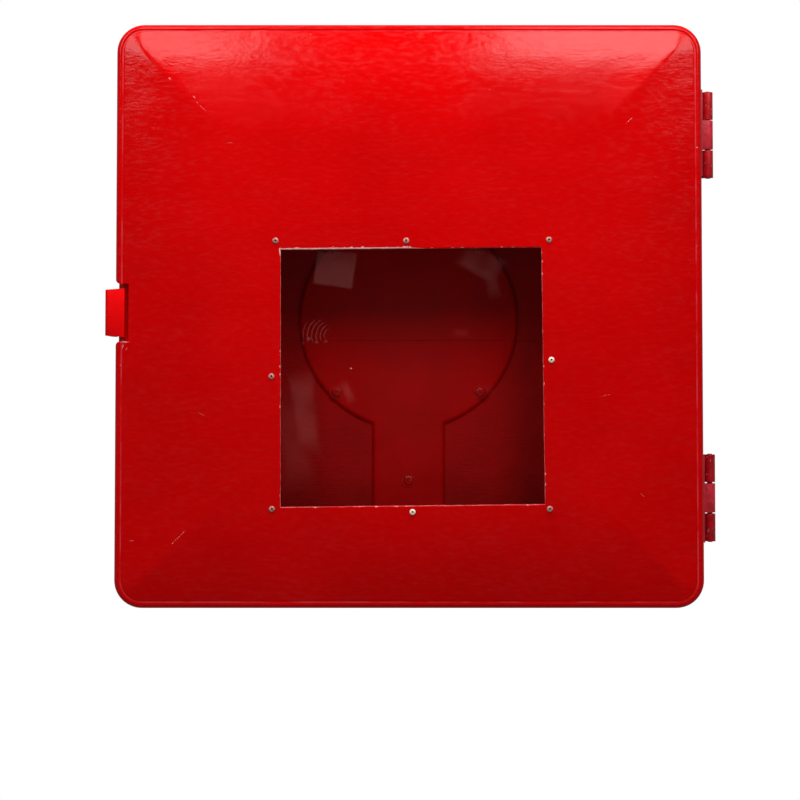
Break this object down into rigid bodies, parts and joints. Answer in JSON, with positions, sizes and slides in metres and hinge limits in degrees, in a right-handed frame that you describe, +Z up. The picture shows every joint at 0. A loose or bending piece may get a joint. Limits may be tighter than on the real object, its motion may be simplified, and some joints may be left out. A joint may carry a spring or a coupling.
{
  "type": "life-saving supplies wall cabinet",
  "caption": "Square red glass-fibre wall cabinet with a crowned, side-hinged door, a riveted clear window, a keyhole-shaped back pad inside and a sprung clip latch.",
  "frame": {"origin": "centre of the flat back face, which goes against the wall", "axes": "+X to the right seen from the front, towards the hinges; +Y into the wall, so the door faces -Y; +Z up"},
  "size_m": [0.7343, 0.2355, 0.699],
  "materials": {
    "door_gel_coat": "glossy red gel coat on glass-fibre laminate, a little hazed",
    "body_gel_coat": "glossy red gel coat on glass-fibre laminate",
    "pad_gel_coat": "satin red flow coat",
    "acrylic": "clear, faintly scratched acrylic",
    "rubber": "matt black",
    "aluminium": "satin, slightly dirty",
    "zinc_steel": "zinc plated",
    "painted_screw": "painted over with the pad",
    "painted_steel": "brushed-on red enamel, worn at the edges",
    "nylon": "satin bright red nylon"
  },
  "bodies": {
    "cabinet": {"body_shell": "body_gel_coat", "door_gasket": "rubber", "back_pad": "pad_gel_coat", "pad_washer_stem": "painted_screw", "pad_screw_stem": "painted_screw", "pad_washer_lower_left": "painted_screw", "pad_screw_lower_left": "painted_screw", "pad_washer_upper_left": "painted_screw", "pad_screw_upper_left": "painted_screw", "pad_washer_lower_right": "painted_screw", "pad_screw_lower_right": "painted_screw", "pad_washer_upper_right": "painted_screw", "pad_screw_upper_right": "painted_screw", "upper_hinge_body_leaf": "painted_steel", "upper_hinge_body_screw_lower": "painted_steel", "upper_hinge_body_screw_upper": "painted_steel", "upper_hinge_pin": "painted_steel", "lower_hinge_body_leaf": "painted_steel", "lower_hinge_body_screw_lower": "painted_steel", "lower_hinge_body_screw_upper": "painted_steel", "lower_hinge_pin": "painted_steel", "latch_base": "nylon", "latch_pin": "zinc_steel", "latch_spring": "zinc_steel", "latch_screw_lower": "zinc_steel", "latch_screw_upper": "zinc_steel"},
    "door": {"door_shell": "door_gel_coat", "window_seal": "rubber", "window_pane": "acrylic", "rivet_washer_top_left": "aluminium", "rivet_washer_top_middle": "aluminium", "rivet_washer_top_right": "aluminium", "rivet_washer_left": "aluminium", "rivet_washer_right": "aluminium", "rivet_washer_bottom_left": "aluminium", "rivet_washer_bottom_middle": "aluminium", "rivet_washer_bottom_right": "aluminium", "window_rivet_top_left": "aluminium", "window_rivet_top_middle": "aluminium", "window_rivet_top_right": "aluminium", "window_rivet_left": "aluminium", "window_rivet_right": "aluminium", "window_rivet_bottom_left": "aluminium", "window_rivet_bottom_middle": "aluminium", "window_rivet_bottom_right": "aluminium", "upper_hinge_door_leaf": "painted_steel", "upper_hinge_door_screw_lower": "painted_steel", "upper_hinge_door_screw_upper": "painted_steel", "lower_hinge_door_leaf": "painted_steel", "lower_hinge_door_screw_lower": "painted_steel", "lower_hinge_door_screw_upper": "painted_steel"},
    "clip": {"latch_clip": "nylon"}
  },
  "joints": [
    {"name": "door_hinge", "type": "hinge", "parent": "cabinet", "child": "door", "pos_m": [0.3626, -0.182, 0], "axis": [0, 0, 1], "range_deg": [0, 170]},
    {"name": "latch_pivot", "type": "hinge", "parent": "cabinet", "child": "clip", "pos_m": [-0.36, -0.15, 0.0025], "axis": [0, 0, -1], "range_deg": [0, 100], "stiffness_Nm_per_rad": 0.02, "springref_deg": -20.05}
  ]
}
